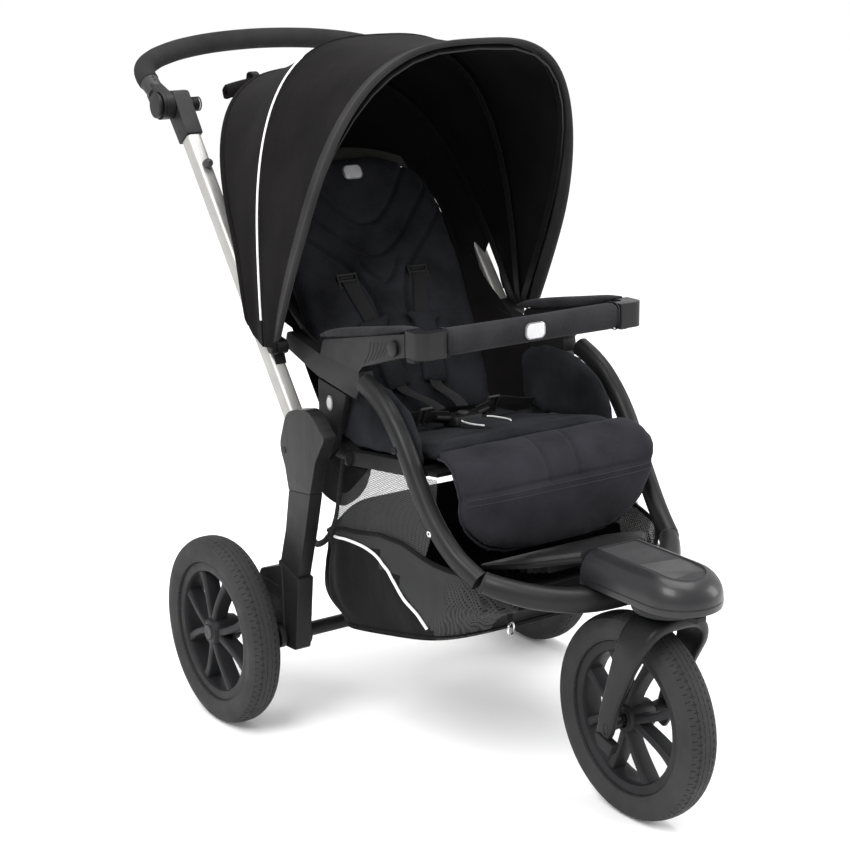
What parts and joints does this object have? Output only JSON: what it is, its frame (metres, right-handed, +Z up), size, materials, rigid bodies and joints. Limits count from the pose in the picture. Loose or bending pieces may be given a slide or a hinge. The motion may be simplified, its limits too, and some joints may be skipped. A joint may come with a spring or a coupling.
{
  "type": "jogging stroller",
  "caption": "Three-wheeled jogging stroller with a folding frame, swivelling front wheel, reclining seat, harness, bumper bar, canopy, basket and tilting handle.",
  "frame": {"origin": "on the ground, midway along the length and width of the open stroller", "axes": "+Y towards the parent's handle, so the child faces -Y; +X to the child's left; +Z up"},
  "size_m": [0.653, 1.149, 1.0398],
  "materials": {
    "tyre": "matt moulded rubber with a grooved tread",
    "black_plastic": "fine-grained moulded plastic",
    "gloss_plastic": "polished black plastic",
    "dark_frame": "satin dark grey coating on aluminium tube and castings",
    "silver_tube": "satin anodised",
    "steel": "bright plated",
    "foam_grip": "closed-cell foam",
    "canopy_cloth": "woven polyester",
    "seat_cloth": "padded melange polyester",
    "webbing": "woven webbing"
  },
  "bodies": {
    "main_frame": {"nose_housing": "gloss_plastic", "steering_collar": "dark_frame", "front_yoke": "dark_frame", "footrest": "black_plastic", "front_tube_right": "dark_frame", "front_tube_left": "dark_frame", "seat_frame": "black_plastic", "armrest_right": "dark_frame", "armrest_left": "dark_frame", "side_plate_right": "black_plastic", "side_plate_left": "black_plastic", "seat_cushion": "seat_cloth", "side_wing_right": "seat_cloth", "side_wing_left": "seat_cloth", "harness_buckle": "black_plastic", "basket": "canopy_cloth"},
    "push_frame": {"push_tube_right": "silver_tube", "push_tube_left": "silver_tube", "push_socket_right": "black_plastic", "push_socket_left": "black_plastic", "handle_bracket_right": "dark_frame", "handle_bracket_left": "dark_frame", "canopy_rear_bow": "black_plastic", "canopy_back": "canopy_cloth"},
    "handle": {"handlebar": "foam_grip", "handle_knuckle_right": "black_plastic", "handle_knuckle_left": "black_plastic"},
    "handle_button_right": {"handle_button_right": "black_plastic"},
    "handle_button_left": {"handle_button_left": "black_plastic"},
    "canopy_middle": {"canopy_middle_bow": "black_plastic", "canopy_rear_panel": "canopy_cloth"},
    "canopy_front": {"canopy_front_bow": "black_plastic", "canopy_front_panel": "canopy_cloth"},
    "backrest": {"backrest_cushion": "seat_cloth", "backrest_frame": "black_plastic", "harness": "webbing"},
    "rear_legs": {"rear_leg_right": "dark_frame", "rear_leg_left": "dark_frame", "rear_beam": "dark_frame"},
    "brake_pedal": {"brake_pedal": "black_plastic"},
    "swing_arm_right": {"swing_arm_right": "dark_frame"},
    "swing_arm_left": {"swing_arm_left": "dark_frame"},
    "rear_wheel_right": {"rear_tyre_right": "tyre", "rear_rim_right": "black_plastic"},
    "rear_wheel_left": {"rear_tyre_left": "tyre", "rear_rim_left": "black_plastic"},
    "wheel_button_right": {"wheel_button_right": "steel"},
    "wheel_button_left": {"wheel_button_left": "steel"},
    "fork": {"front_fork": "dark_frame", "front_axle": "steel"},
    "front_wheel": {"front_tyre": "tyre", "front_rim": "black_plastic"},
    "swivel_lock": {"swivel_lock": "gloss_plastic"},
    "bumper": {"bumper_bar": "black_plastic", "bumper_sleeve": "seat_cloth"},
    "bumper_button_right": {"bumper_button_right": "black_plastic"},
    "bumper_button_left": {"bumper_button_left": "black_plastic"},
    "leg_rest": {"leg_flap": "seat_cloth", "leg_rest_board": "black_plastic"},
    "buckle_button": {"buckle_button": "black_plastic"}
  },
  "joints": [
    {"name": "push_frame_fold", "type": "hinge", "parent": "main_frame", "child": "push_frame", "pos_m": [0, 0.0713, 0.455], "axis": [1, 0, 0], "range_deg": [0, 75]},
    {"name": "rear_leg_fold", "type": "hinge", "parent": "main_frame", "child": "rear_legs", "pos_m": [0, 0.0713, 0.455], "axis": [1, 0, 0], "range_deg": [-52.5, 0], "deforming": ["basket"]},
    {"name": "backrest_recline", "type": "hinge", "parent": "push_frame", "child": "backrest", "pos_m": [0, 0.0713, 0.455], "axis": [1, 0, 0], "range_deg": [-35, 0], "deforming": ["canopy_back"]},
    {"name": "handle_tilt", "type": "hinge", "parent": "push_frame", "child": "handle", "pos_m": [0, 0.4303, 0.93], "axis": [1, 0, 0], "range_deg": [-40, 30]},
    {"name": "handle_button_right_press", "type": "slide", "parent": "handle", "child": "handle_button_right", "axis": [1, 0, 0], "range_m": [0, 0.0025], "stiffness_N_per_m": 600},
    {"name": "handle_button_left_press", "type": "slide", "parent": "handle", "child": "handle_button_left", "axis": [-1, 0, 0], "range_m": [0, 0.0025], "stiffness_N_per_m": 600},
    {"name": "canopy_middle_fold", "type": "hinge", "parent": "push_frame", "child": "canopy_middle", "pos_m": [0, 0.1403, 0.593], "axis": [1, 0, 0], "range_deg": [-15.5, 0], "deforming": ["canopy_rear_panel"]},
    {"name": "canopy_front_fold", "type": "hinge", "parent": "canopy_middle", "child": "canopy_front", "pos_m": [0, 0.1403, 0.593], "axis": [1, 0, 0], "range_deg": [-26.5, 0], "deforming": ["canopy_front_panel"]},
    {"name": "leg_rest_tilt", "type": "hinge", "parent": "main_frame", "child": "leg_rest", "pos_m": [0, -0.1997, 0.455], "axis": [1, 0, 0], "range_deg": [-60, 0], "deforming": ["leg_flap"]},
    {"name": "bumper_release", "type": "slide", "parent": "main_frame", "child": "bumper", "axis": [0, -1, 0], "range_m": [0, 0.06]},
    {"name": "bumper_button_right_press", "type": "slide", "parent": "main_frame", "child": "bumper_button_right", "axis": [1, 0, 0], "range_m": [0, 0.002], "stiffness_N_per_m": 600},
    {"name": "bumper_button_left_press", "type": "slide", "parent": "main_frame", "child": "bumper_button_left", "axis": [-1, 0, 0], "range_m": [0, 0.002], "stiffness_N_per_m": 600},
    {"name": "buckle_button_press", "type": "slide", "parent": "main_frame", "child": "buckle_button", "axis": [0, 0, -1], "range_m": [0, 0.0015], "stiffness_N_per_m": 600},
    {"name": "swivel_lock_press", "type": "slide", "parent": "main_frame", "child": "swivel_lock", "axis": [0, 1, 0], "range_m": [0, 0.004]},
    {"name": "fork_swivel", "type": "hinge", "parent": "main_frame", "child": "fork", "pos_m": [0, -0.4877, 0.315], "axis": [0, 0, 1], "continuous": true},
    {"name": "front_wheel_spin", "type": "hinge", "parent": "fork", "child": "front_wheel", "pos_m": [0, -0.4287, 0.14655], "axis": [1, 0, 0], "continuous": true},
    {"name": "brake_pedal_press", "type": "hinge", "parent": "rear_legs", "child": "brake_pedal", "pos_m": [0, 0.0823, 0.163], "axis": [1, 0, 0], "range_deg": [-20, 0]},
    {"name": "suspension_right", "type": "hinge", "parent": "rear_legs", "child": "swing_arm_right", "pos_m": [0, 0.0823, 0.163], "axis": [1, 0, 0], "range_deg": [0, 8], "stiffness_Nm_per_rad": 60, "springref_deg": -10.31},
    {"name": "rear_wheel_right_spin", "type": "hinge", "parent": "swing_arm_right", "child": "rear_wheel_right", "pos_m": [-0.3, 0.2003, 0.14655], "axis": [1, 0, 0], "continuous": true},
    {"name": "wheel_button_right_press", "type": "slide", "parent": "rear_wheel_right", "child": "wheel_button_right", "axis": [1, 0, 0], "range_m": [0, 0.002], "stiffness_N_per_m": 600},
    {"name": "suspension_left", "type": "hinge", "parent": "rear_legs", "child": "swing_arm_left", "pos_m": [0, 0.0823, 0.163], "axis": [1, 0, 0], "range_deg": [0, 8], "stiffness_Nm_per_rad": 60, "springref_deg": -10.31},
    {"name": "rear_wheel_left_spin", "type": "hinge", "parent": "swing_arm_left", "child": "rear_wheel_left", "pos_m": [0.3, 0.2003, 0.14655], "axis": [1, 0, 0], "continuous": true},
    {"name": "wheel_button_left_press", "type": "slide", "parent": "rear_wheel_left", "child": "wheel_button_left", "axis": [-1, 0, 0], "range_m": [0, 0.002], "stiffness_N_per_m": 600}
  ],
  "couplings": [
    {"joint": "rear_leg_fold", "follows": "push_frame_fold", "ratio": -0.7},
    {"joint": "canopy_middle_fold", "follows": "canopy_front_fold", "ratio": 0.584}
  ]
}
